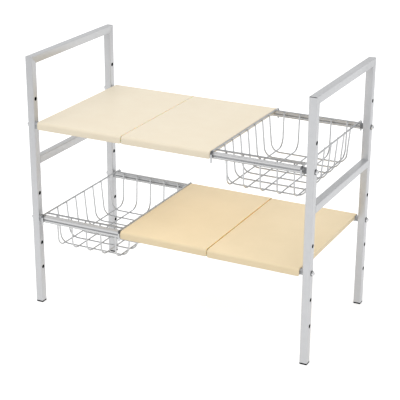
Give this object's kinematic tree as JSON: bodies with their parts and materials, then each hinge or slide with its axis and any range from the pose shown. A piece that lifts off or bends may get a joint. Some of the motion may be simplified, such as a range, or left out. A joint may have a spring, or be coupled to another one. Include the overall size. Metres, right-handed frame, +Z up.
{
  "type": "under sink organizer",
  "caption": "Two-tier shelf rack for the cupboard under a sink: side frames, telescoping rails, lift-off panels and hanging wire baskets.",
  "frame": {"origin": "on the floor, below the middle of the rack", "axes": "+X to the right along the rails, +Y to the back, +Z up"},
  "size_m": [0.5692, 0.2904, 0.484],
  "materials": {
    "frame_paint": "silver-grey powder coat",
    "rail_steel": "silver-grey powder coat on rolled steel",
    "wire_chrome": "plated steel wire",
    "cream_plastic": "satin moulded plastic",
    "black_plastic": "matt moulded plastic",
    "grey_plastic": "moulded plastic",
    "bolt_steel": "zinc plated",
    "dark_nylon": "moulded nylon"
  },
  "bodies": {
    "left_frame": {"left_front_post": "frame_paint", "left_rear_post": "frame_paint", "left_front_foot": "black_plastic", "left_rear_foot": "black_plastic", "left_top_bar": "frame_paint", "left_crossbar": "frame_paint", "left_rail_ends": "grey_plastic", "left_bolts": "bolt_steel", "left_washers": "dark_nylon", "lower_front_outer_rail": "rail_steel", "lower_rear_outer_rail": "rail_steel", "upper_front_outer_rail": "rail_steel", "upper_rear_outer_rail": "rail_steel"},
    "right_frame": {"right_front_post": "frame_paint", "right_rear_post": "frame_paint", "right_front_foot": "black_plastic", "right_rear_foot": "black_plastic", "right_top_bar": "frame_paint", "right_crossbar": "frame_paint", "right_rail_ends": "grey_plastic", "right_bolts": "bolt_steel", "right_washers": "dark_nylon", "lower_front_inner_rail": "rail_steel", "lower_rear_inner_rail": "rail_steel", "upper_front_inner_rail": "rail_steel", "upper_rear_inner_rail": "rail_steel", "slide_guides": "grey_plastic"},
    "upper_left_panel_body": {"upper_left_panel": "cream_plastic"},
    "upper_right_panel_body": {"upper_right_panel": "cream_plastic"},
    "lower_left_panel_body": {"lower_left_panel": "cream_plastic"},
    "lower_right_panel_body": {"lower_right_panel": "cream_plastic"},
    "lower_basket": {"lower_basket_side_rims": "wire_chrome", "lower_basket_end_rims": "wire_chrome", "lower_basket_long_wires": "wire_chrome", "lower_basket_front_cross_wires": "wire_chrome", "lower_basket_rear_cross_wires": "wire_chrome"},
    "upper_basket": {"upper_basket_side_rims": "wire_chrome", "upper_basket_end_rims": "wire_chrome", "upper_basket_long_wires": "wire_chrome", "upper_basket_front_cross_wires": "wire_chrome", "upper_basket_rear_cross_wires": "wire_chrome"}
  },
  "joints": [
    {"name": "width_slide", "type": "slide", "parent": "left_frame", "child": "right_frame", "axis": [1, 0, 0], "range_m": [0, 0.09]},
    {"name": "upper_left_panel_lift", "type": "slide", "parent": "left_frame", "child": "upper_left_panel_body", "axis": [0, 0, 1], "range_m": [0, 0.1]},
    {"name": "upper_right_panel_lift", "type": "slide", "parent": "left_frame", "child": "upper_right_panel_body", "axis": [0, 0, 1], "range_m": [0, 0.1]},
    {"name": "lower_left_panel_lift", "type": "slide", "parent": "left_frame", "child": "lower_left_panel_body", "axis": [0, 0, 1], "range_m": [0, 0.08]},
    {"name": "lower_right_panel_lift", "type": "slide", "parent": "right_frame", "child": "lower_right_panel_body", "axis": [0, 0, 1], "range_m": [0, 0.08]},
    {"name": "lower_basket_lift", "type": "slide", "parent": "left_frame", "child": "lower_basket", "axis": [0, 0, 1], "range_m": [0, 0.08]},
    {"name": "upper_basket_lift", "type": "slide", "parent": "right_frame", "child": "upper_basket", "axis": [0, 0, 1], "range_m": [0, 0.1]}
  ]
}
